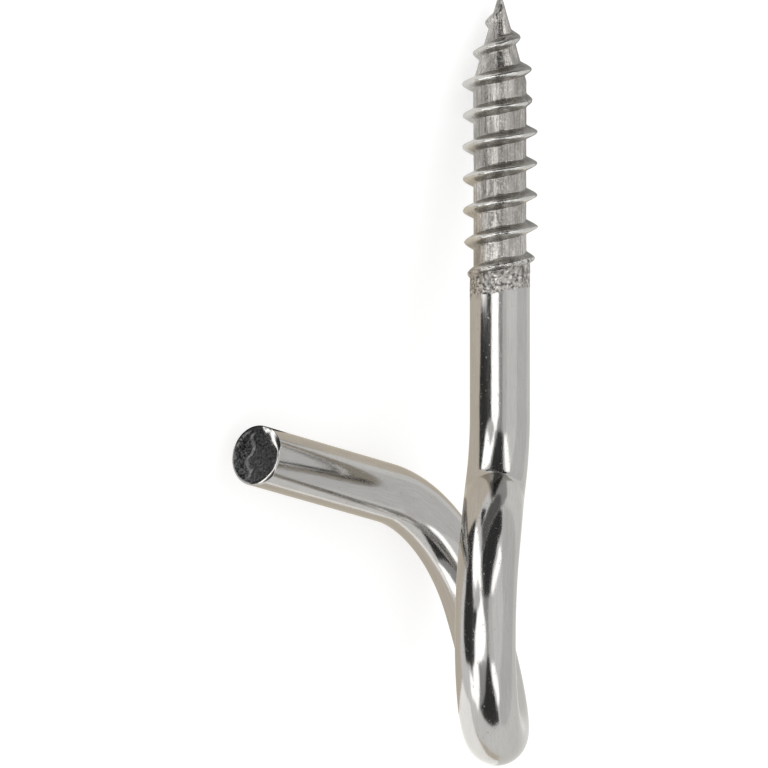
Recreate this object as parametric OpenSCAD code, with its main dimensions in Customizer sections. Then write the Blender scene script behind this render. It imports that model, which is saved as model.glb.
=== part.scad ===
// Open screw eye bent from one length of stainless steel wire:
// a rolled wood-screw thread, a plain shank, a neck, a round eye and a tail that
// sweeps past the shank and leaves the eye open to one side.
// The part lies on the floor as it comes to rest, on its thread and its tail.

/* [Wire] */
// Diameter of the wire
wire_d = 8; // [7.4:0.1:9]

/* [Thread] */
// Diameter over the thread
thread_d = 10; // [9.2:0.1:11]
// Diameter of the core between the threads
core_d = 7; // [6:0.1:7.3]
// Rise of the thread in one turn
pitch = 4.2; // [3.4:0.1:5]
// Length from the point to the plain shank
thread_len = 38.8; // [34:0.1:50]
// Length of the tapered point
point_len = 10.8; // [8:0.1:14]
// Diameter of the blunt end of the point
point_d = 0.7; // [0.4:0.1:1.2]
// Length along which the thread reaches its full height
thread_rise_len = 12; // [10:0.5:16]
// Share of its full height that the thread has at the point
thread_rise_from = 0.4; // [0.2:0.05:0.8]
// Width of one thread at its foot
thread_foot_w = 2; // [1.6:0.1:2.8]
// Sharpness of the thread, from full and round to thin
thread_sharpness = 0.8; // [0.7:0.05:1.6]
// Height above the point at which the thread starts
thread_start = 0.6; // [0.4:0.1:1.5]
// Length along which the thread fades out into the shank
thread_runout_len = 8.6; // [6:0.1:12]
// Length of the rough collar between the last thread and the plain shank
collar_len = 3.5; // [2.5:0.1:6]
// Length of the shoulder from the core up to the collar
shoulder_len = 0.8; // [0.4:0.1:1.4]

/* [Shank and neck] */
// Straight length of the plain shank
shank_len = 16.2; // [8:0.1:40]
// Centreline radius of the long bend that leads into the neck
neck_lead_r = 21; // [16:0.5:30]
// Angle of the long bend
neck_lead_angle = 25; // [15:0.5:30]
// Turn of the long bend's plane about the wire
neck_lead_turn = 16; // [0:0.5:25]
// Centreline radius of the tight bend of the neck
neck_r = 5.3; // [5:0.1:8]
// Angle of the tight bend
neck_angle = 46; // [35:0.5:55]
// Turn of the tight bend's plane about the wire
neck_turn = -17.5; // [-25:0.5:0]

/* [Eye] */
// Inner diameter of the eye
eye_inner_d = 24; // [22:0.5:32]
// Angle of the eye's near arc
eye_near_angle = 38; // [30:0.5:45]
// Turn of the near arc's plane about the wire, from the plane of the neck
eye_near_turn = 2; // [-4:0.5:6]
// Angle of the eye's bottom arc
eye_bottom_angle = 119; // [110:0.5:125]
// Turn of the bottom arc's plane about the wire
eye_bottom_turn = 8; // [4:0.5:12]
// Angle of the eye's far arc
eye_far_angle = 98.5; // [90:0.5:105]
// Turn of the far arc's plane about the wire
eye_far_turn = -17; // [-22:0.5:-12]

/* [Tail] */
// Centreline radius of the bend that sweeps the tail clear of the shank
tail_r = 20.5; // [18:0.5:26]
// Angle of the tail's bend
tail_angle = 67; // [55:0.5:75]
// Turn of the tail bend's plane about the wire
tail_turn = -29; // [-36:0.5:-22]
// Straight length of the tail
tail_len = 27.9; // [16:0.1:40]
// Width of the worn edge round the cut end
tail_edge = 0.3; // [0.1:0.05:0.6]

/* [Rest] */
// Turn about the shank at which the part balances on its tail
rest_roll = 134.4; // [125:0.1:145]

/* [Hidden] */
$fn = 96;

wire_r = wire_d / 2;
core_r = core_d / 2;
thread_h = (thread_d - core_d) / 2;
eye_r = eye_inner_d / 2 + wire_r;

// The wire's bends in order, each as the straight run before it, its centreline
// radius, its angle, and the turn of its plane about the wire.
BENDS = [
    [shank_len, neck_lead_r, neck_lead_angle, neck_lead_turn],
    [0, neck_r, neck_angle, neck_turn],
    [0, eye_r, eye_near_angle, 180 + eye_near_turn],
    [0, eye_r, eye_bottom_angle, eye_bottom_turn],
    [0, eye_r, eye_far_angle, eye_far_turn],
    [0, tail_r, tail_angle, tail_turn],
];

// ---- Thread, built point first along +Z

thread_steps = 36;      // steps in one turn
thread_rows = 10;       // rows across one thread
thread_turn_at = 45;    // angle about the shank at which the first full crest stands
thread_crest_z = 2.26;  // height of that crest above the point
tip_blend = 2;          // height below which the rows crowd towards the point
turns_above = 1;        // turns of the surface above the first full crest
shoulder_gap = 0.05;    // the thread's solid enters the shank this far under its skin
thread_sink = 0.5;      // and goes on at least this deep into it

step_first = -turns_above * thread_steps;
turns_below = (thread_len + thread_sink + thread_foot_w / 2 - thread_crest_z) / pitch + 1;
step_last = ceil(turns_below * thread_steps);

function ramp(x) = min(1, max(0, x));

// Height along the part, with the rows under the tip blend crowded towards the point
function crowded(z) = z > tip_blend ? z : tip_blend * exp((z - tip_blend) / tip_blend);

function core_at(z) = point_d / 2 + (core_r - point_d / 2) * ramp(z / point_len);

// Height of the shoulder over the core. It starts along the last thread, so it lies
// aslant by a quarter of the pitch to each side.
function shoulder_at(z, a) = (wire_r - shoulder_gap - core_r)
    * ramp((z - thread_len + collar_len - sin(a) * pitch / 4) / shoulder_len);

// Height of the thread's crest over the core, from its start to its run-out
function crest_at(z) = thread_h
    * (thread_rise_from + (1 - thread_rise_from) * ramp(z / thread_rise_len))
    * ramp((z - thread_start) / (tip_blend + thread_start))
    * sqrt(ramp((thread_len - z) / thread_runout_len));

// Section of one thread, where x runs from -1 to 1 across its foot
function thread_section(x) = pow((1 + cos(180 * x)) / 2, thread_sharpness);

function thread_point(step, row) =
    let (crest_z = thread_crest_z + pitch * step / thread_steps,
         x = 2 * row / (thread_rows - 1) - 1,
         z = crowded(crest_z + x * thread_foot_w / 2),
         a = thread_turn_at + 360 * step / thread_steps,
         r = core_at(z) + max(crest_at(crest_z) * thread_section(x), shoulder_at(z, a)))
    [r * cos(a), r * sin(a), z];

// Points are numbered step by step; the last row of one turn meets the first row of
// the next, so a row past the last stands for the first row one turn on.
function thread_index(step, row) = row < thread_rows
    ? (step - step_first) * thread_rows + row
    : thread_index(step + thread_steps, 0);

module thread() {
    last_full = step_last - thread_steps;
    body = [for (s = [step_first : step_last], r = [0 : thread_rows - 1]) thread_point(s, r)];
    tip = len(body);
    end = tip + 1;
    end_z = thread_point(step_last, 0)[2];
    side = [
        for (s = [step_first : last_full - 1], r = [0 : thread_rows - 1])
            let (a = thread_index(s, r), b = thread_index(s + 1, r),
                 c = thread_index(s + 1, r + 1), d = thread_index(s, r + 1))
            each [[a, c, b], [a, d, c]],
    ];
    // The closing fans follow the edge of the winding once round, and the step in it
    tip_edge = concat(
        [for (s = [step_first : step_first + thread_steps]) thread_index(s, 0)],
        [for (r = [thread_rows - 1 : -1 : 0]) thread_index(step_first, r)]);
    end_edge = concat(
        [for (r = [0 : thread_rows]) thread_index(last_full, r)],
        [for (s = [step_last - 1 : -1 : last_full]) thread_index(s, 0)]);
    fans = concat(
        [for (i = [0 : len(tip_edge) - 2]) [tip, tip_edge[i], tip_edge[i + 1]]],
        [for (i = [0 : len(end_edge) - 2]) [end, end_edge[i], end_edge[i + 1]]]);
    polyhedron(points = concat(body, [[0, 0, 0], [0, 0, end_z]]), faces = concat(side, fans));
}

// ---- Wire, from the shank to the tail

join_step = 0.01;   // every second length of the wire is thinner by this on its radius
join_sink = 0.1;    // and enters its two neighbours this far, so that no skins coincide

function thin(i) = i % 2 == 0;
function length_r(i) = thin(i) ? wire_r - join_step : wire_r;

// Bend i of the wire towards +X, from the origin heading up +Z
module bend(i) {
    r = BENDS[i][1];
    sink = thin(i) ? join_sink / r * 180 / PI : 0;
    translate([r, 0, 0]) rotate([90, 0, 0]) rotate([0, 0, 180 - BENDS[i][2] - sink])
        rotate_extrude(angle = BENDS[i][2] + 2 * sink) translate([r, 0]) circle(r = length_r(i));
}

module tail() {
    r = length_r(len(BENDS));
    rotate_extrude() polygon([
        [0, -join_sink], [r, -join_sink], [r, tail_len - tail_edge],
        [r - tail_edge, tail_len], [0, tail_len],
    ]);
}

module wire_from(i) {
    if (i < len(BENDS)) {
        run = BENDS[i][0];
        r = BENDS[i][1];
        if (run > 0) cylinder(r = wire_r, h = run);
        translate([0, 0, run]) rotate([0, 0, BENDS[i][3]]) {
            bend(i);
            translate([r, 0, 0]) rotate([0, BENDS[i][2], 0]) translate([-r, 0, 0]) wire_from(i + 1);
        }
    } else {
        tail();
    }
}

// ---- Resting place

path_step = 2; // degrees of bend between two points of the wire's centreline

// Points of the centreline from bend i on, where the wire is at p, heads along h,
// and the next bend's plane is turned from the direction b
function path_from(i, p, h, b) = i == len(BENDS)
    ? [p, p + tail_len * h]
    : let (r = BENDS[i][1], angle = BENDS[i][2], turn = BENDS[i][3],
           q = p + BENDS[i][0] * h,
           side = cos(turn) * b + sin(turn) * cross(h, b),
           arc = [for (a = [0 : path_step : angle]) q + r * (sin(a) * h + (1 - cos(a)) * side)])
      concat([p], arc, path_from(i + 1,
          q + r * (sin(angle) * h + (1 - cos(angle)) * side),
          cos(angle) * h + sin(angle) * side,
          cos(angle) * side - sin(angle) * h));

function rolled(p) = [
    p[0] * cos(rest_roll) - p[1] * sin(rest_roll),
    p[0] * sin(rest_roll) + p[1] * cos(rest_roll),
    p[2],
];

PATH = [for (p = path_from(0, [0, 0, thread_len], [0, 0, 1], [1, 0, 0])) rolled(p)];
CRESTS = [
    for (s = [0 : step_last - thread_steps])
        let (p = thread_point(s, (thread_rows - 1) / 2)) if (p[2] < thread_len) rolled(p),
];

// Slope of the floor from a crest of the thread down to the underside of the wire at p
function slope_under(crest, p) =
    let (run = p[2] - crest[2], drop = crest[1] - p[1], reach = norm([run, drop]))
    atan2(drop, run) + asin(min(1, wire_r / reach));

rest_slope = min([for (c = CRESTS) max([for (p = PATH) if (p[2] > thread_len) slope_under(c, p)])]);

// A point of the part as it lies, before it is moved to the middle of the floor
function laid(p) = [
    p[0],
    p[1] * sin(rest_slope) - p[2] * cos(rest_slope),
    p[1] * cos(rest_slope) + p[2] * sin(rest_slope),
];

LAID_PATH = [for (p = PATH) laid(p)];
LAID_CRESTS = [for (p = CRESTS) laid(p)];
LAID_POINT = laid([0, 0, 0]);

CUT_END = LAID_PATH[len(LAID_PATH) - 1];
cut_way = (CUT_END - LAID_PATH[len(LAID_PATH) - 2]) / tail_len;

// Reach of the wire along axis i at p: all round, or that of the flat cut end
function reach_at(p, i) = p == CUT_END ? wire_r * sqrt(1 - cut_way[i] * cut_way[i]) : wire_r;

function lows(i) = concat([for (p = LAID_PATH) p[i] - reach_at(p, i)], [for (p = LAID_CRESTS) p[i]]);
function highs(i) = concat([for (p = LAID_PATH) p[i] + reach_at(p, i)], [for (p = LAID_CRESTS) p[i]]);

middle_x = (min(lows(0)) + max(highs(0))) / 2;
middle_y = (min(lows(1)) + max(concat(highs(1), [LAID_POINT[1]]))) / 2;
floor_z = min(lows(2));

module screw_eye() {
    color([0.72, 0.71, 0.69])
        translate([-middle_x, -middle_y, -floor_z])
        rotate([90 - rest_slope, 0, 0]) rotate([0, 0, rest_roll])
        union() {
            thread();
            translate([0, 0, thread_len]) wire_from(0);
        }
}

screw_eye();
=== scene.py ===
# %% [markdown]
# # A screw eye bent from one length of wire
# The real thing is a stainless steel wire, 8 mm thick. One end is rolled into a
# wood-screw thread, and the rest is bent on a former into a neck, a round eye and a
# tail that sweeps past the shank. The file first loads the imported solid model, which
# fixes the sizes, and then dresses it: the wire's true surface, its finish, the light
# and the camera.

# %% Load the frame
import math
import bpy
from mathutils import Matrix, Vector


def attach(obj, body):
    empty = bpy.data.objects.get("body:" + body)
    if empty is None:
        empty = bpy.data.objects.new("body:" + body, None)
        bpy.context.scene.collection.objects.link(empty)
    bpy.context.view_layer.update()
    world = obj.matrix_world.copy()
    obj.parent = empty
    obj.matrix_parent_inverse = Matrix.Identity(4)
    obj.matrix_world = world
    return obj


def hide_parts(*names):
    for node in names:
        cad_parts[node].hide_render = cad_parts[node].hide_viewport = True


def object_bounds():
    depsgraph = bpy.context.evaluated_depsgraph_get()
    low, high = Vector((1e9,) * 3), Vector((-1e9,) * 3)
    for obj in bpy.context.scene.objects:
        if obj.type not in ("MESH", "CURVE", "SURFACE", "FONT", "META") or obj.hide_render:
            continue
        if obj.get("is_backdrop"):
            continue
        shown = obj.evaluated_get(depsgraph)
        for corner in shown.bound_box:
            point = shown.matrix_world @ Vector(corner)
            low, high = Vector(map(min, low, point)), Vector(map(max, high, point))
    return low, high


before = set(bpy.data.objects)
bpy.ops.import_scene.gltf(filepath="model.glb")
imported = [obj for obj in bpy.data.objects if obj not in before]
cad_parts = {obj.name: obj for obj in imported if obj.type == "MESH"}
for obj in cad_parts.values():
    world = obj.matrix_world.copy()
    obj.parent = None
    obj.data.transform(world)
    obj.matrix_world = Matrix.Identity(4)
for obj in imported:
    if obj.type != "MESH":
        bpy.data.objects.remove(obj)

cad_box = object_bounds()
mm = 0.001
print("solid model's box, mm:", [[round(v / mm, 1) for v in corner] for corner in cad_box])

# %% [markdown]
# ## Sizes
# These are the sizes of the real wire and of its bends, as a wire former would write
# them down: a straight run, the radius of the bend on the wire's centreline, its
# angle, and how far the wire is turned about itself before it is bent. A table like
# this one says more about the object than hundreds of points would.

# %% The wire, its thread and its bends
wire_r = 4.0
core_r = 3.5
thread_h = 1.5
pitch = 4.2
thread_len = 38.8
point_len = 10.8
point_r = 0.35
thread_foot = 2.0
thread_sharpness = 0.8
thread_start = 0.6
start_len = 2.6          # along which the first thread grows out of the point
rise_len = 12            # along which the crests reach their full height
rise_from = 0.4          # and the share of it that they have at the point
runout_len = 8.6
collar_len = 3.5
shoulder_len = 0.8
first_crest_z = 2.26
first_crest_turn = 45 / 360
tail_len = 27.9
tail_edge = 0.3
droop_len = 0.5          # length of the lip that the cropping bent over
droop = 0.7              # and how far it is bent

bends = [
    # run, radius, angle, turn
    (thread_len + 16.2, 21, 25, 16),
    (0, 5.3, 46, -17.5),
    (0, 16, 38, 182),
    (0, 16, 119, 8),
    (0, 16, 98.5, -17),
    (0, 20.5, 67, -29),
]
bent_len = sum(run + math.radians(angle) * radius for run, radius, angle, turn in bends)
print("wire's length, mm:", round(bent_len + tail_len, 1))

# %% [markdown]
# ## The wire's centreline
# The wire is followed from the screw's point to the cut end. At each step the script
# keeps where it is, where it heads, and which way one chosen side of the wire faces.
# That side never spins about the wire, so it tells the front of the wire from its
# back all the way along, which a thread and a drawn grain both need.

# %% Follow the bends
class Walker:
    def __init__(self):
        self.place = Vector((0, 0, 0))
        self.heading = Vector((0, 0, 1))
        self.side = Vector((1, 0, 0))
        self.bend_way = Vector((1, 0, 0))
        self.along = 0.0
        self.steps = []

    def note(self):
        self.steps.append((self.place.copy(), self.heading.copy(), self.side.copy(), self.along))

    def straight(self, length, spacing):
        count = max(1, round(length / spacing))
        for _ in range(count):
            self.place += self.heading * (length / count)
            self.along += length / count
            self.note()

    def curve(self, radius, angle, turn, spacing):
        self.bend_way.rotate(Matrix.Rotation(math.radians(turn), 3, self.heading))
        centre = self.place + self.bend_way * radius
        axis = self.heading.cross(self.bend_way)
        count = max(2, round(math.radians(angle) * radius / spacing))
        swing = Matrix.Rotation(math.radians(angle) / count, 3, axis)
        for _ in range(count):
            self.place = centre + swing @ (self.place - centre)
            for way in (self.heading, self.side, self.bend_way):
                way.rotate(swing)
            self.along += math.radians(angle) * radius / count
            self.note()


# %% Walk from the point to the cut end
cap_len = 0.35           # length beyond the point that is drawn in to close it
face_len = 4.0           # and beyond the cut end, to make the face
edge_len = 0.8           # length before the cut face that takes the finest steps
plain_step = 0.8
thread_step = 0.12
bend_step = 0.62
tight_r = 10             # bends tighter than this take shorter steps
tight_step = 0.35

walker = Walker()
walker.place.z = walker.along = -cap_len
walker.note()
walker.straight(cap_len, 0.07)
walker.straight(thread_len + 0.4, thread_step)
walker.straight(bends[0][0] - walker.along, plain_step)
for run, radius, angle, turn in bends:
    walker.curve(radius, angle, turn, tight_step if radius < tight_r else bend_step)
wire_len = walker.along + tail_len
walker.straight(tail_len - edge_len, plain_step)
walker.straight(edge_len, 0.05)
walker.straight(face_len, 0.1)
print(len(walker.steps), "steps along", round(wire_len, 1), "mm of wire")

# %% [markdown]
# ## Where it lies
# Nothing holds a screw eye upright, so it lies on the crest of its thread and on the
# side of its tail, with the eye raised. One turn about the shank and one slope of the
# shank set that place, and they are the solid model's own.

# %% Lay it on the floor
rest_roll = 134.4
rest_slope = 14.597
point_at = Vector((10.5175, 49.4989, 1.86614))
to_floor = (
    Matrix.Translation(point_at * mm)
    @ Matrix.Rotation(math.radians(90 - rest_slope), 4, "X")
    @ Matrix.Rotation(math.radians(rest_roll), 4, "Z")
    @ Matrix.Scale(mm, 4)
)
turn_only = to_floor.to_3x3().normalized()


def centreline_mesh(name, steps):
    mesh = bpy.data.meshes.new(name)
    links = [(i, i + 1) for i in range(len(steps) - 1)]
    mesh.from_pydata([to_floor @ place for place, *_ in steps], links, [])
    for key in ("centre", "heading", "side"):
        mesh.attributes.new(key, "FLOAT_VECTOR", "POINT")
    mesh.attributes.new("along", "FLOAT", "POINT")
    for i, (place, heading, side, along) in enumerate(steps):
        mesh.attributes["centre"].data[i].vector = to_floor @ place
        mesh.attributes["heading"].data[i].vector = turn_only @ heading
        mesh.attributes["side"].data[i].vector = turn_only @ side
        mesh.attributes["along"].data[i].value = along
    return mesh


wire = bpy.data.objects.new("screw_eye_wire", centreline_mesh("screw_eye_wire", walker.steps))
bpy.context.scene.collection.objects.link(wire)
print("centreline made, cut end at mm", [round(v / mm, 1) for v in wire.data.vertices[-1].co])

# %% [markdown]
# ## Fields
# Geometry Nodes work with fields: numbers that can differ from point to point. A
# formula such as the thread's would take dozens of Math nodes, wired one by one. This
# small helper lets the script write it as a formula, and places the nodes itself.

# %% A number in a node tree
class Field:
    def __init__(self, tree, socket):
        self.tree = tree
        self.socket = socket

    def math(self, operation, *others, clamp=False):
        node = self.tree.nodes.new("ShaderNodeMath")
        node.operation = operation
        node.use_clamp = clamp
        for socket, value in zip(node.inputs, (self, *others)):
            plug(self.tree, value, socket)
        return Field(self.tree, node.outputs[0])

    def __add__(self, other):
        return self.math("ADD", other)

    def __sub__(self, other):
        return self.math("SUBTRACT", other)

    def __mul__(self, other):
        return self.math("MULTIPLY", other)

    def __truediv__(self, other):
        return self.math("DIVIDE", other)

    def __pow__(self, other):
        return self.math("POWER", other)

    def ramp(self):
        return self.math("ADD", 0.0, clamp=True)

    def smooth(self, low, high):
        node = self.tree.nodes.new("ShaderNodeMapRange")
        node.interpolation_type = "SMOOTHSTEP"
        for name, value in (("Value", self), ("From Min", low), ("From Max", high)):
            plug(self.tree, value, node.inputs[name])
        return Field(self.tree, node.outputs[0])


def plug(tree, value, socket):
    if isinstance(value, Field):
        tree.links.new(value.socket, socket)
    else:
        socket.default_value = value


# %% Nodes for directions and noise
def vector_math(tree, operation, a, b=None, scale=None):
    node = tree.nodes.new("ShaderNodeVectorMath")
    node.operation = operation
    plug(tree, a, node.inputs[0])
    if b is not None:
        plug(tree, b, node.inputs[1])
    if scale is not None:
        plug(tree, scale, node.inputs["Scale"])
    return Field(tree, node.outputs["Value" if operation == "DOT_PRODUCT" else "Vector"])


def vector_of(tree, x, y, z):
    node = tree.nodes.new("ShaderNodeCombineXYZ")
    for socket, value in zip(node.inputs, (x, y, z)):
        plug(tree, value, socket)
    return Field(tree, node.outputs[0])


def noise(tree, place, scale, detail=2.0, roughness=0.5):
    node = tree.nodes.new("ShaderNodeTexNoise")
    plug(tree, place, node.inputs["Vector"])
    node.inputs["Scale"].default_value = scale
    node.inputs["Detail"].default_value = detail
    node.inputs["Roughness"].default_value = roughness
    return Field(tree, node.outputs["Fac"])


print("field helpers ready")

# %% [markdown]
# ## The wire's surface as a rule
# A rolled thread could be modelled by hand, or swept as a separate coil and joined.
# Here the whole wire is one skin: a circle swept along the centreline, whose points
# are then moved in or out by a formula. Where the formula knows how far along and how
# far around the wire a point is, it can roll the thread, fade it out, roughen the
# run-out and close both ends, all in one closed mesh.

# %% Start the tree
tree = bpy.data.node_groups.new("rolled_and_bent_wire", "GeometryNodeTree")
tree.interface.new_socket("Geometry", in_out="INPUT", socket_type="NodeSocketGeometry")
size_inputs = {
    "Wire radius": wire_r,
    "Core radius": core_r,
    "Thread height": thread_h,
    "Pitch": pitch,
    "Thread length": thread_len,
    "Point length": point_len,
    "Run-out length": runout_len,
    "Wire length": wire_len,
    "Roughness of the rolling": 1.0,
}
for name, value in size_inputs.items():
    socket = tree.interface.new_socket(name, in_out="INPUT", socket_type="NodeSocketFloat")
    socket.default_value = value
sides = 128
tree.interface.new_socket(
    "Sides", in_out="INPUT", socket_type="NodeSocketInt").default_value = sides
tree.interface.new_socket("Material", in_out="INPUT", socket_type="NodeSocketMaterial")
tree.interface.new_socket("Geometry", in_out="OUTPUT", socket_type="NodeSocketGeometry")
group_in = tree.nodes.new("NodeGroupInput")
size = {s.name: Field(tree, s) for s in group_in.outputs if s.name}
print("tree inputs:", ", ".join(size))


# %% Sweep a circle along the centreline
def node_of(kind, inputs):
    node = tree.nodes.new(kind)
    for name, value in inputs.items():
        plug(tree, value, node.inputs[name])
    return node


def named(name, data_type="FLOAT"):
    node = tree.nodes.new("GeometryNodeInputNamedAttribute")
    node.data_type = data_type
    node.inputs["Name"].default_value = name
    return Field(tree, next(s for s in node.outputs if s.enabled and s.name == "Attribute"))


circle = node_of("GeometryNodeCurvePrimitiveCircle", {
    "Resolution": size["Sides"], "Radius": wire_r * mm})
path = node_of("GeometryNodeMeshToCurve", {"Mesh": size["Geometry"]})
sweep = tree.nodes.new("GeometryNodeCurveToMesh")
tree.links.new(path.outputs[0], sweep.inputs["Curve"])
tree.links.new(circle.outputs[0], sweep.inputs["Profile Curve"])
print("sweep ready")

# %% [markdown]
# ## Where a point is on the straight wire
# Every point of the swept skin knows its distance along the wire. Its angle around
# the wire comes from two directions: the side that was carried along, and the one at
# right angles to it. With both, each point has a place on the wire as it was before
# it was bent, and the thread and the grain are laid out there.

# %% Along, around and outwards
along = named("along")
centre = named("centre", "FLOAT_VECTOR")
heading = named("heading", "FLOAT_VECTOR")
side = named("side", "FLOAT_VECTOR")
position = Field(tree, tree.nodes.new("GeometryNodeInputPosition").outputs[0])
outwards = vector_math(tree, "NORMALIZE", vector_math(tree, "SUBTRACT", position, centre))
across = vector_math(tree, "CROSS_PRODUCT", heading, side)
front = vector_math(tree, "DOT_PRODUCT", outwards, side)
left = vector_math(tree, "DOT_PRODUCT", outwards, across)
around = left.math("ARCTAN2", front) / math.tau
on_cylinder = vector_of(tree, front * wire_r, left * wire_r, along)
print("place on the straight wire ready")

# %% [markdown]
# ## The thread
# A thread is a bump that repeats once in each pitch and moves on by one pitch in each
# turn. So a point's distance along, less its share of a turn, tells how far it is
# from the nearest crest. The bump is a rounded cosine. It starts low at the point,
# reaches its full height after a few turns, and sinks into the shank at the run-out.

# %% Thread and core
turns = (along - first_crest_z) / size["Pitch"] - around + first_crest_turn
off_crest = turns - turns.math("ROUND")
crest_along = along - off_crest * size["Pitch"]
across_foot = (off_crest * size["Pitch"] / (thread_foot / 2)).math("ABSOLUTE").ramp()
bump = (((across_foot * math.pi).math("COSINE") + 1.0) / 2) ** thread_sharpness
rise = (crest_along / rise_len).ramp() * (1 - rise_from) + rise_from
start = ((crest_along - thread_start) / start_len).ramp()
fade = ((size["Thread length"] - crest_along) / size["Run-out length"]).ramp().math("SQRT")
thread = size["Thread height"] * rise * start * fade * bump
taper = (size["Core radius"] - point_r) * (along / size["Point length"]).ramp() + point_r
slant = left * (pitch / 4)
shoulder = (along - slant - (thread_len - collar_len)).smooth(0.0, shoulder_len)
shoulder = shoulder * (size["Wire radius"] - size["Core radius"])
print("thread of pitch", pitch, "mm, right-handed")

# %% [markdown]
# ## Marks of the rolling
# Rolling dies leave marks that a plain formula lacks: crests a little uneven, one of
# them bruised, and a pebbled band where the dies let go of the wire. Noise, read on
# the straight wire and weighted by where each mark belongs, moves the skin in and out
# by about a tenth of a millimetre at most.

# %% Uneven crests, a bruise and the pebbled run-out
rough = size["Roughness of the rolling"]
uneven = (noise(tree, on_cylinder, 0.42, 3.0) - 0.5) * 0.5 * rough + 1.0
bruise_at = 13.3
bruise_off = ((along - bruise_at) / 1.5) ** 2 + ((left + 1.0) / 0.3) ** 2
bruise = bruise_off.smooth(1.0, 0.2) * 0.45
last_rolled = left * 0.75 + (noise(tree, on_cylinder, 0.8) - 0.5) * 1.4 + thread_len
rolled = (along - last_rolled).smooth(0.12, -0.12)
collar_from = 34.6
run_out = rolled * (along - slant).smooth(collar_from, collar_from + 1.0)
streaks = noise(tree, vector_math(tree, "MULTIPLY", on_cylinder, (1.0, 1.0, 0.3)), 1.1, 3.0) - 0.5
pebbles = noise(tree, on_cylinder, 2.5, 2.0) - 0.5
marks = rolled * streaks * 0.16 + run_out * pebbles * 0.36
tooth = thread * uneven * (bruise * -1.0 + 1.0)
profile = taper + tooth.math("SMOOTH_MAX", shoulder, 0.15) + marks * rough
print("rolling marks ready")

# %% [markdown]
# ## Both ends
# The centreline runs on a little past each end of the wire. There the skin is drawn
# in to the middle and pushed back, so that it forms a flat face with the same rings:
# no separate lid, and no seam. The tail was cropped, not sawn, so its face is torn and
# granular, with one crooked ridge where the metal let go last.

# %% Close the point and tear the cut face
past = along - size["Wire length"]
to_middle = (past / face_len).ramp()
ridge_turn = math.radians(229.2)
across_ridge = front * math.cos(ridge_turn) + left * math.sin(ridge_turn)
along_ridge = front * math.sin(ridge_turn) - left * math.cos(ridge_turn)
edge = (across_ridge * 0.35 + along_ridge * 0.94).smooth(0.8, 0.97) * 0.3 + tail_edge
worn = ((past + edge) / edge).ramp()
rounding = (((worn ** 2) * -1.0 + 1.0).ramp().math("SQRT") - 1.0) * edge
bent_over = (across_ridge * 0.8 - along_ridge * 0.6).smooth(0.8, 0.98)
rounding = rounding - bent_over * (past / droop_len + 1.0).ramp() * droop
radius = (profile + rounding) * (to_middle * -1.0 + 1.0) * (along / cap_len + 1.0).ramp()
face_x = across_ridge * radius
face_y = along_ridge * radius
face_place = vector_of(tree, face_x, face_y, 3.0)
wander = (noise(tree, face_place, 0.9) - 0.5) * 1.2
ridge_wave = 3.2         # length of one wave of the crooked ridge
ridge_line = ((face_y + 1.0) * (math.tau / ridge_wave)).math("COSINE") * 0.4
ridge_line = ridge_line - face_y * 0.22 + wander - 0.85
off_ridge = face_x - ridge_line
ridge = off_ridge.math("ABSOLUTE").smooth(0.5, 0.05) * face_y.math("ABSOLUTE").smooth(3.5, 2.6)
high_side = off_ridge.smooth(-0.35, 0.2)
grain = noise(tree, face_place, 3.4, 3.0) - 0.5
torn = past.smooth(0.0, 0.5) * (grain * 0.26 + ridge * 0.2 + high_side * 0.12 - 0.2)
lengthwise = past.math("MAXIMUM", 0.0) * -1.0 - along.math("MINIMUM", 0.0) + torn
print("both ends closed")


# %% Move the skin to its place
def moved(way, distance):
    return vector_math(tree, "SCALE", way, scale=distance * mm)


new_place = vector_math(tree, "ADD", centre, vector_math(
    tree, "ADD", moved(outwards, radius), moved(heading, lengthwise)))
set_place = node_of("GeometryNodeSetPosition", {"Position": new_place})
geometry = set_place.outputs[0]
stored = {
    "straight": vector_of(tree, front * radius, left * radius, along),
    "rolled": rolled,
    "run_out": run_out,
    "crest": (tooth / thread_h).smooth(0.35, 0.85),
    "cut_face": past.smooth(-0.08, 0.1),
    "ridge": ridge,
    "high_side": high_side,
    "pebble": pebbles,
}


def store(geometry, name, field):
    node = tree.nodes.new("GeometryNodeStoreNamedAttribute")
    node.data_type = "FLOAT_VECTOR" if name == "straight" else "FLOAT"
    node.domain = "POINT"
    node.inputs["Name"].default_value = name
    tree.links.new(geometry, node.inputs["Geometry"])
    tree.links.new(field.socket, next(s for s in node.inputs if s.enabled and s.name == "Value"))
    return node.outputs[0]


# The masks are worked out on the plain swept skin, before its points are moved.
swept = sweep.outputs[0]
for name, field in stored.items():
    swept = store(swept, name, field)
tree.links.new(swept, set_place.inputs["Geometry"])
print("stored on the skin:", ", ".join(stored))

# %% Join the poles, smooth, and set the material
same_place = 1e-6
merge = node_of("GeometryNodeMergeByDistance", {"Distance": same_place})
smooth = tree.nodes.new("GeometryNodeSetShadeSmooth")
realize = tree.nodes.new("GeometryNodeRealizeInstances")
finish = node_of("GeometryNodeSetMaterial", {"Material": size["Material"]})
group_out = tree.nodes.new("NodeGroupOutput")
chain = [set_place, merge, smooth, realize, finish]
for a, b in zip(chain, chain[1:]):
    tree.links.new(a.outputs[0], b.inputs[0])
tree.links.new(finish.outputs[0], group_out.inputs[0])
print(len(tree.nodes), "nodes in the wire's tree")

# %% [markdown]
# ## Marks that both finishes share
# The wire was pulled through a die, so it carries fine lines along its length, and
# handling left specks on it. Both are patterns on the straight wire, so they follow
# every bend. They sit in one shader group with named inputs, which each finish places
# with its own values.

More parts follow.
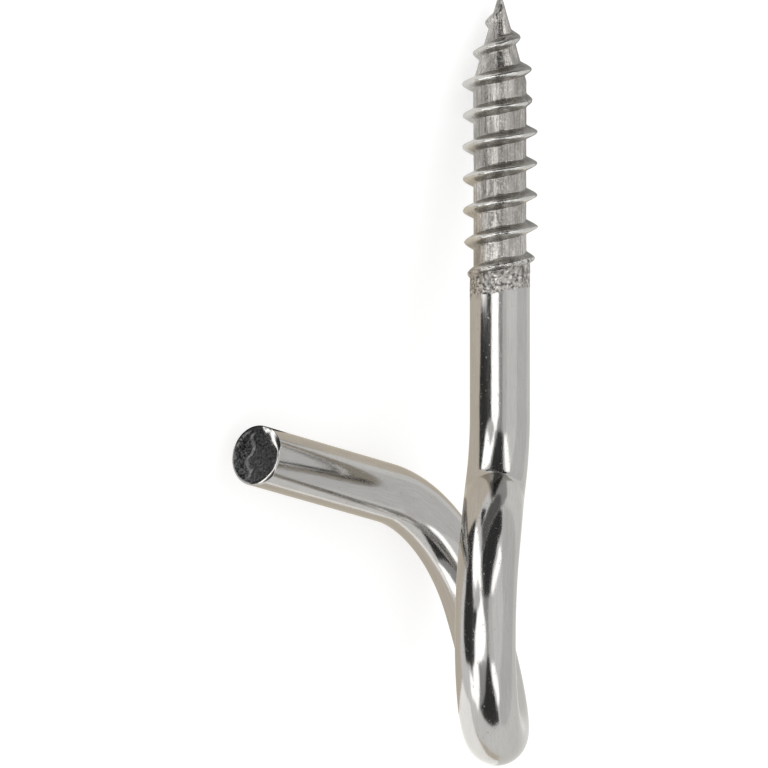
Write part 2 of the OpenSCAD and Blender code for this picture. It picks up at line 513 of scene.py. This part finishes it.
# %% Shader group: drawn lines, specks and patches
marks_group = bpy.data.node_groups.new("drawn_wire_marks", "ShaderNodeTree")
for name, kind, value in (
    ("Place", "NodeSocketVector", None),
    ("Line scale", "NodeSocketFloat", 3.0),
    ("Speck scale", "NodeSocketFloat", 2.0),
    ("Speck share", "NodeSocketFloat", 0.3),
    ("Patch scale", "NodeSocketFloat", 1.0),
):
    socket = marks_group.interface.new_socket(name, in_out="INPUT", socket_type=kind)
    if value is not None:
        socket.default_value = value
for name in ("Lines", "Specks", "Patches"):
    marks_group.interface.new_socket(name, in_out="OUTPUT", socket_type="NodeSocketFloat")
g_in = marks_group.nodes.new("NodeGroupInput")
g_out = marks_group.nodes.new("NodeGroupOutput")
mark_inputs = [Field(marks_group, s) for s in g_in.outputs[:5]]
place, line_scale, speck_scale, speck_share, patch_scale = mark_inputs


def pattern(stretch, scale, detail, roughness):
    stretched = vector_math(marks_group, "MULTIPLY", place, stretch)
    scaled = vector_math(marks_group, "SCALE", stretched, scale=scale)
    return noise(marks_group, scaled, 1.0, detail, roughness)


lines = pattern((1.0, 1.0, 0.07), line_scale, 4.0, 0.65)
specks = pattern((1.0, 1.0, 1.0), speck_scale, 3.0, 0.6)
specks = (specks - (speck_share * -0.5 + 0.75)).smooth(-0.04, 0.05)
patches = pattern((0.5, 0.5, 0.16), patch_scale, 3.0, 0.55)
for socket, field in zip(g_out.inputs, (lines, specks, patches)):
    marks_group.links.new(field.socket, socket)
print("marks group ready")


# %% Helpers for a finish
def attribute(nodes, name, output="Fac"):
    node = nodes.new("ShaderNodeAttribute")
    node.attribute_name = name
    return node.outputs[output]


def blend_colour(tree, share, a, b):
    node = tree.nodes.new("ShaderNodeMix")
    node.data_type = "RGBA"
    plug(tree, share, node.inputs["Factor"])
    plug(tree, a, node.inputs[6])
    plug(tree, b, node.inputs[7])
    return Field(tree, node.outputs[2])


def relief(tree, height, strength, distance):
    node = tree.nodes.new("ShaderNodeBump")
    node.inputs["Strength"].default_value = strength
    node.inputs["Distance"].default_value = distance
    plug(tree, height, node.inputs["Height"])
    return Field(tree, node.outputs["Normal"])


# %% [markdown]
# ## Polished stainless wire
# On the real thing the plain wire is bright and mirror-like, the rolled thread is
# duller, with dark and bright flecks, the run-out is rough, and the cropped face is
# almost black where the steel tore. One metal with masks from the skin is used, and
# not four materials, so that each finish can fade into the next as it does in steel.

# %% The wire's finish
steel = bpy.data.materials.new("stainless_wire")
steel.use_nodes = True
st = steel.node_tree
shader = st.nodes["Principled BSDF"]
straight = Field(st, attribute(st.nodes, "straight", "Vector"))
rolled_mask = Field(st, attribute(st.nodes, "rolled"))
run_out_mask = Field(st, attribute(st.nodes, "run_out"))
crest_mask = Field(st, attribute(st.nodes, "crest"))
cut_mask = Field(st, attribute(st.nodes, "cut_face"))
painted_ridge_highlight_mask = Field(st, attribute(st.nodes, "ridge"))
painted_lit_side_mask = Field(st, attribute(st.nodes, "high_side"))
pebble_height = Field(st, attribute(st.nodes, "pebble"))


def wire_marks(line_scale, speck_scale, speck_share, patch_scale=1.0):
    node = st.nodes.new("ShaderNodeGroup")
    node.node_tree = marks_group
    st.links.new(straight.socket, node.inputs["Place"])
    node.inputs["Line scale"].default_value = line_scale
    node.inputs["Speck scale"].default_value = speck_scale
    node.inputs["Speck share"].default_value = speck_share
    node.inputs["Patch scale"].default_value = patch_scale
    return [Field(st, node.outputs[name]) for name in ("Lines", "Specks", "Patches")]


drawn_lines, pits, clouds = wire_marks(5.0, 2.4, 0.17)
die_lines, flecks, blotches = wire_marks(3.4, 2.6, 0.62)
torn_grains = wire_marks(1.0, 3.0, 0.5, 6.5)[2]
print("marks placed three times")

# %% Colours of the metal
bright = blend_colour(st, clouds.smooth(0.35, 0.65), (0.49, 0.48, 0.465, 1), (0.52, 0.51, 0.495, 1))
bright = blend_colour(st, drawn_lines.smooth(0.6, 0.35) * 0.25, bright, (0.37, 0.36, 0.35, 1))
bright = blend_colour(st, pits * 0.3, bright, (0.3, 0.29, 0.28, 1))
dull = blend_colour(st, blotches.smooth(0.4, 0.62), (0.42, 0.4, 0.375, 1), (0.63, 0.605, 0.575, 1))
dull = blend_colour(st, die_lines.smooth(0.52, 0.34) * 0.6, dull, (0.2, 0.195, 0.185, 1))
dull = blend_colour(st, flecks * 0.22, dull, (0.12, 0.115, 0.11, 1))
# Lighter on the crests: partly the steel that the dies polished, partly a painted highlight.
dull = blend_colour(st, crest_mask * 0.9, dull, (0.66, 0.65, 0.62, 1))
# Painted shade and painted highlight: in the pebbled run-out the hollows are coloured dark and the
# tops light.
painted_hollow_shade = run_out_mask * pebble_height.smooth(0.02, -0.12)
painted_top_highlight = run_out_mask * pebble_height.smooth(0.05, 0.15)
dull = blend_colour(st, painted_hollow_shade, dull, (0.13, 0.125, 0.12, 1))
dull = blend_colour(st, painted_top_highlight, dull, (0.7, 0.68, 0.65, 1))
torn_share = torn_grains.smooth(0.36, 0.66)
torn_steel = blend_colour(st, torn_share, (0.02, 0.021, 0.02, 1), (0.19, 0.195, 0.195, 1))
# Painted light on the cut face: the raised side of the crooked ridge is coloured lighter, as if
# lit, and the other side keeps the darker colour, as if in the ridge's shade.
torn_steel = blend_colour(st, painted_lit_side_mask * 0.4, torn_steel, (0.15, 0.152, 0.15, 1))
# Painted highlight: the crooked ridge itself is coloured lighter still.
torn_steel = blend_colour(st, painted_ridge_highlight_mask * 0.8, torn_steel, (0.3, 0.305, 0.3, 1))
colour = blend_colour(st, rolled_mask, bright, dull)
colour = blend_colour(st, cut_mask, colour, torn_steel)
st.links.new(colour.socket, shader.inputs["Base Color"])
print("colours: bright wire, dull thread, torn face")

# %% Gloss and relief
metallic = rolled_mask * (crest_mask - 1.0) * 0.14 + 1.0
st.links.new(metallic.socket, shader.inputs["Metallic"])
shader.inputs["Specular Tint"].default_value = (0.8, 0.79, 0.76, 1)
plain_rough = drawn_lines * 0.16 + 0.05 + pits * 0.25
rolled_rough = blotches * 0.2 + 0.12 + run_out_mask * 0.08 - crest_mask * 0.1
roughness = plain_rough + (rolled_rough - plain_rough) * rolled_mask
roughness = roughness + (torn_grains * 0.1 + 0.45 - roughness) * cut_mask
st.links.new(roughness.socket, shader.inputs["Roughness"])
height = drawn_lines * 0.25 - pits * 0.1
height = height + (die_lines * 0.8 + flecks * 0.7 - height) * rolled_mask
height = height + (torn_grains * 4.0 - height) * cut_mask
relief_depth = 0.06 * mm
st.links.new(relief(st, height, 0.35, relief_depth).socket, shader.inputs["Normal"])
print("gloss and relief ready")

# %% [markdown]
# ## Make the skin
# The tree's inputs are given by their identifiers, the result is turned into a plain
# mesh, and the modifier is taken off. The skin then stands for the solid of the model.

# %% Run the tree and keep its mesh
modifier = wire.modifiers.new("Rolled and bent", "NODES")
modifier.node_group = tree
values = dict(size_inputs, Sides=sides, Material=steel)
for item in tree.interface.items_tree:
    if item.in_out == "INPUT" and item.name in values:
        modifier[item.identifier] = values[item.name]
depsgraph = bpy.context.evaluated_depsgraph_get()
skin = bpy.data.meshes.new_from_object(
    wire.evaluated_get(depsgraph), preserve_all_data_layers=True, depsgraph=depsgraph)
wire.modifiers.clear()
wire.data = skin
skin.name = "screw_eye_wire"
skin.calc_loop_triangles()
volume = 0.0
for triangle in skin.loop_triangles:
    a, b, c = (skin.vertices[i].co for i in triangle.vertices)
    volume += a.dot(b.cross(c)) / 6
print("triangles:", len(skin.loop_triangles), "volume, mm3:", round(volume / mm ** 3, 1))

# %% Ride on the frame
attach(wire, "root")
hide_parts("screw_eye")
print("the wire stands for the solid screw_eye")

# %% [markdown]
# ## The studio
# Polished steel shows what is around it more than its own colour: a white room makes
# it a white shape, so a photographer sets dark and bright cards about it. The floor
# and the room are white to the camera and in reflections. Two soft lamps, which
# reflections don't show, light the rougher parts and cast the shadow. Cards, which
# only reflections show, give the bright streaks and the dark edges.

# %% Directions around the upright wire
middle = Vector((0, 15.4, 51.03))


def way_to(azimuth, elevation):
    a = math.radians(azimuth)
    e = math.radians(elevation)
    way = Vector((math.cos(a) * math.cos(e), -math.sin(a) * math.cos(e), -math.sin(e)))
    return turn_only @ way


def facing(place, target, up):
    back = (place - target).normalized()
    right = up.cross(back).normalized()
    return Matrix((right, back.cross(right), back)).transposed().to_4x4()


target = to_floor @ middle
upright = turn_only @ Vector((0, 0, -1))
print("middle of the part, mm:", [round(v / mm, 1) for v in target])

# %% The camera
camera = bpy.data.objects.new("camera", bpy.data.cameras.new("camera"))
bpy.context.scene.collection.objects.link(camera)
distance = 1000
seen_width = 102.07      # what the frame takes in at that distance, mm
sensor_width = 36
place = to_floor @ (middle + Vector((distance, 0, 0)))
camera.matrix_world = Matrix.Translation(place) @ facing(place, target, upright)
camera.data.lens = sensor_width * distance / seen_width
camera.data.clip_end = 20
bpy.context.scene.camera = camera
bpy.context.scene.view_settings.view_transform = "Standard"
print("camera at, mm:", [round(v / mm) for v in place])


# %% White that still takes a shadow
def plain_white(tree, shader_kind):
    path = tree.nodes.new("ShaderNodeLightPath")
    glossy = Field(tree, path.outputs["Is Glossy Ray"])
    seen = glossy.math("MAXIMUM", Field(tree, path.outputs["Is Transmission Ray"]))
    white = tree.nodes.new(shader_kind)
    white.inputs["Color"].default_value = (1, 1, 1, 1)
    white.inputs["Strength"].default_value = 1.0
    return path, seen, white


reach = 3                # from the middle of the floor to its sides, m
floor_corners = [(-reach, -reach, 0), (reach, -reach, 0), (reach, reach, 0), (-reach, reach, 0)]
floor_mesh = bpy.data.meshes.new("floor")
floor_mesh.from_pydata(floor_corners, [], [(0, 1, 2, 3)])
floor = bpy.data.objects.new("floor", floor_mesh)
bpy.context.scene.collection.objects.link(floor)
paper = bpy.data.materials.new("white_paper")
paper.use_nodes = True
pt = paper.node_tree
sheet = pt.nodes["Principled BSDF"]
sheet.inputs["Base Color"].default_value = (0.6, 0.6, 0.6, 1)
sheet.inputs["Roughness"].default_value = 1.0
sheet.inputs["Specular IOR Level"].default_value = 0.0
path, seen, white = plain_white(pt, "ShaderNodeEmission")
camera_lift = 0.65
lift = pt.nodes.new("ShaderNodeEmission")
plug(pt, Field(pt, path.outputs["Is Camera Ray"]) * camera_lift, lift.inputs["Strength"])
both = pt.nodes.new("ShaderNodeAddShader")
pt.links.new(sheet.outputs[0], both.inputs[0])
pt.links.new(lift.outputs[0], both.inputs[1])
choose = pt.nodes.new("ShaderNodeMixShader")
plug(pt, seen, choose.inputs["Fac"])
pt.links.new(both.outputs[0], choose.inputs[1])
pt.links.new(white.outputs[0], choose.inputs[2])
pt.links.new(choose.outputs[0], pt.nodes["Material Output"].inputs["Surface"])
floor_mesh.materials.append(paper)
floor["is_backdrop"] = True
print("floor ready")

# %% The room
world = bpy.data.worlds.new("white_room")
bpy.context.scene.world = world
world.use_nodes = True
wt = world.node_tree
path, seen, white = plain_white(wt, "ShaderNodeBackground")
seen = seen.math("MAXIMUM", Field(wt, path.outputs["Is Camera Ray"]))
dim = wt.nodes["Background"]
dim.inputs["Color"].default_value = (1, 1, 1, 1)
room_level = 0.7         # what the room gives off as light
dim.inputs["Strength"].default_value = room_level
choose = wt.nodes.new("ShaderNodeMixShader")
plug(wt, seen, choose.inputs["Fac"])
wt.links.new(dim.outputs[0], choose.inputs[1])
wt.links.new(white.outputs[0], choose.inputs[2])
wt.links.new(choose.outputs[0], wt.nodes["World Output"].inputs["Surface"])
print("room ready")


# %% Soft lamps
def soft_lamp(name, azimuth, elevation, across, brightness, distance=0.8):
    lamp = bpy.data.lights.new(name, "AREA")
    lamp.shape = "SQUARE"
    lamp.size = across
    lamp.energy = brightness * math.pi * across ** 2
    obj = bpy.data.objects.new(name, lamp)
    bpy.context.scene.collection.objects.link(obj)
    place = target + way_to(azimuth, elevation) * distance
    obj.matrix_world = Matrix.Translation(place) @ facing(place, target, upright)
    obj.visible_glossy = False
    return obj


for name, azimuth, elevation, across, brightness in (
    ("lamp_left", -28, 35, 0.5, 0.55),
    ("lamp_right", 60, 10, 0.6, 0.45),
):
    lamp = soft_lamp(name, azimuth, elevation, across, brightness)
    print(name, "at, mm:", [round(v / mm) for v in lamp.location])


# %% [markdown]
# ## Cards
# The cards stand round the part like the flags and reflectors of a studio. Only
# reflections see them. Windows are bright, flags are black and shades are between
# them. Those that stand up are given by the directions of their corners, as azimuth
# and elevation from the upright wire, and those that lie on the floor by the x and y
# of their corners, in millimetres. Where two overlap, the nearer or higher one shows.
# One charcoal card on the floor is a painted shadow: it stands for the floor's shade
# under the thread, as the wire's reflections see it.

# %% Card stock and how a card is put up
def card_stock(name, colour, level):
    stock = bpy.data.materials.new(name)
    stock.use_nodes = True
    sheet = stock.node_tree.nodes["Principled BSDF"]
    sheet.inputs["Base Color"].default_value = (0, 0, 0, 1)
    sheet.inputs["Specular IOR Level"].default_value = 0.0
    sheet.inputs["Emission Color"].default_value = (*colour, 1)
    sheet.inputs["Emission Strength"].default_value = level
    return stock


stocks = {
    "black": card_stock("black_card", (1, 1, 1), 0.05),
    "charcoal": card_stock("charcoal_card", (1, 1, 1), 0.16),
    "grey": card_stock("grey_card", (1, 1, 1), 0.45),
    "silver": card_stock("silver_card", (1, 1, 1), 0.82),
    "cream": card_stock("cream_card", (1.0, 0.92, 0.8), 0.83),
    "pale": card_stock("pale_card", (1, 1, 1), 1.5),
    "bright": card_stock("bright_card", (1, 1, 1), 2.3),
}


def card(name, stock, corners):
    mesh = bpy.data.meshes.new(name)
    mesh.from_pydata(corners, [], [tuple(range(len(corners)))])
    mesh.materials.append(stocks[stock])
    obj = bpy.data.objects.new(name, mesh)
    bpy.context.scene.collection.objects.link(obj)
    for kind in ("visible_camera", "visible_diffuse", "visible_shadow", "visible_transmission"):
        setattr(obj, kind, False)
    obj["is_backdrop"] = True


def standing_card(name, stock, corners, distance=1.6):
    ways = [way_to(azimuth, elevation) for azimuth, elevation in corners]
    middle_way = sum(ways, Vector()).normalized()
    card(name, stock, [target + way * (distance / way.dot(middle_way)) for way in ways])


def floor_card(name, stock, corners, height=0.1):
    card(name, stock, [Vector((x, y, height)) * mm for x, y in corners])


# %% Standing cards
standing_card("window_left", "bright", [
    (-60, 43), (-33, 44), (-30, 38), (-26, 32), (-22, 27), (-19, 22), (-20, 17), (-14, 13),
    (-11, 8), (-7, 2), (-3, -2), (-1, -10), (1, -15), (1, -20), (-2, -27), (-8, -32),
    (-16, -34), (-32, -34), (-31, -40), (-32, -46), (-35, -51), (-39, -56), (-48, -61),
    (-60, -64), (-80, -64), (-70, -40), (-57, -34), (-46, -33), (-43, -28), (-41, -20),
    (-39, -13), (-36, -7), (-33, -2), (-31, 3), (-29, 12), (-35, 14), (-60, 16)])
standing_card("window_right_high", "bright", [
    (21, 15), (28, 15), (33, 18), (39, 22), (48, 26), (57, 29), (63, 32), (62, 36), (60, 40),
    (57, 44), (53, 43), (47, 38), (38, 35), (30, 30), (25, 27), (21, 20)])
standing_card("window_right_low", "bright", [
    (27, -33), (38, -33), (50, -38), (62, -42), (74, -48), (77, -54), (68, -55), (55, -51),
    (42, -49), (32, -44), (26, -38)])
# This screen keeps the tail's upper side from turning white, as seen from the side.
standing_card("screen_left", "silver", [
    (-50, 6), (-32, 4), (-25, 7), (-22, 11), (-23, 16), (-27, 21), (-33, 25), (-40, 26),
    (-52, 22)], 1.5)
standing_card("flag_left", "black", [
    (-70, 15), (-35, 13), (-30, 11), (-32, 3), (-34, -2), (-37, -7), (-40, -13), (-42, -20),
    (-44, -28), (-50, -32), (-70, -33)])
standing_card("flag_high", "black", [
    (-8, 14), (12, 14), (17, 20), (20, 27), (25, 33), (31, 38), (40, 42), (46, 47), (60, 49),
    (75, 50), (90, 56), (100, 60), (100, 80), (10, 88), (-60, 80), (-60, 52), (-29, 48),
    (-22, 38), (-17, 30), (-13, 22)])
standing_card("flag_low", "black", [
    (6, -30), (14, -29), (20, -34), (24, -40), (30, -46), (38, -50), (50, -54), (62, -57),
    (85, -59), (100, -60), (100, -80), (10, -88), (-60, -80), (-60, -68), (-20, -66),
    (-4, -58), (2, -45), (4, -36)])
standing_card("shade_high", "grey", [
    (-29, 48), (-33, 44), (-30, 38), (-26, 32), (-22, 27), (-19, 22), (-20, 17), (-14, 13),
    (-8, 14), (-13, 22), (-17, 30), (-22, 38)])
standing_card("shade_low", "grey", [
    (-32, -34), (-16, -34), (-8, -32), (2, -36), (2, -45), (-4, -58), (-20, -66), (-60, -68),
    (-60, -64), (-48, -61), (-39, -56), (-35, -51), (-32, -46), (-31, -40)])
standing_card("shade_front", "grey", [
    (-11, 8), (-7, 2), (-3, -2), (0, -4), (4, -12), (5, -20), (6, -30), (14, -29), (13, -22),
    (12, -12), (10, -3), (9, 4), (10, 14), (-8, 14)])
standing_card("shade_front_right", "silver", [
    (10, 14), (9, 4), (10, -3), (12, -12), (13, -22), (14, -29), (20, -34), (36, -32),
    (30, -20), (26, -4), (24, 4), (30, 14), (21, 15)])
standing_card("shade_right", "silver", [
    (62, -40), (66, -20), (68, 0), (64, 20), (62, 31), (75, 48), (110, 55), (125, 0),
    (110, -55), (78, -54)])
print("standing cards up")

# %% Cards on the floor
floor_card("flag_west", "black", [
    (-12, -9), (-13, 7), (-60, 7), (-100, 9), (-330, 36), (-1200, 40), (-1200, -1080),
    (-330, -300), (-150, -130), (-95, -94), (-54, -68), (-40, -46), (-37, -22), (-30, -12)])
floor_card("flag_beside_thread", "black", [(-8, 22), (-8, 44), (-28, 44), (-30, 38), (-14, 22)])
floor_card("window_north_west", "bright", [
    (-19, 8), (-60, 10), (-100, 14), (-310, 90), (-1130, 380), (-1130, 1130), (-330, 300),
    (-75, 66), (-40, 32), (-24, 18)])
floor_card("window_south_west", "bright", [
    (-107, -112), (-245, -245), (-800, -780), (-520, -1000), (-160, -300), (-78, -140)])
floor_card("window_south", "pale", [(-20, -60), (30, -50), (60, -100), (20, -130), (-40, -110)])
# Painted shadow: this charcoal card stands for the shaded floor under the thread, as the neck
# reflects it.
floor_card("painted_shadow_under_thread", "charcoal", [
    (-30, 46), (-48, 62), (-85, 120), (-130, 180), (-200, 240), (-280, 330), (-350, 450),
    (-450, 600), (-700, 900), (-300, 1100), (400, 1100), (240, 620), (215, 430), (150, 300),
    (110, 200), (80, 130), (62, 92), (40, 68), (24, 58), (12, 56), (-6, 56), (-24, 60)], 0.08)
floor_card("shade_round_it", "grey", [
    (-14, 56), (-31, 42), (-55, 66), (-100, 115), (-160, 175), (-230, 235), (-330, 330),
    (-400, 420), (-760, 900), (-300, 1150), (700, 1100), (450, 700), (320, 450), (240, 330),
    (180, 210), (130, 120), (96, 80), (80, 58), (68, 44), (58, 32), (50, 22), (34, 18),
    (17, 24), (14, 56)], 0.06)
floor_card("reflector_under", "cream", [
    (45, -10), (38, 20), (10, 24), (-16, 14), (-24, -8), (-22, -34), (-20, -66), (-15, -118),
    (50, -200), (112, -178), (36, -62), (40, -34)], 0.03)
print("floor cards laid")

# %% [markdown]
# ## The size of the dressed part
# The dressed part must stay the size of the solid model, so both boxes are printed
# before the scene is closed.

# %% Print both boxes
scene_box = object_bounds()
for name, box in (("solid", cad_box), ("skin", scene_box)):
    print(name, "from and to, mm:", [[round(v / mm, 2) for v in corner] for corner in box])
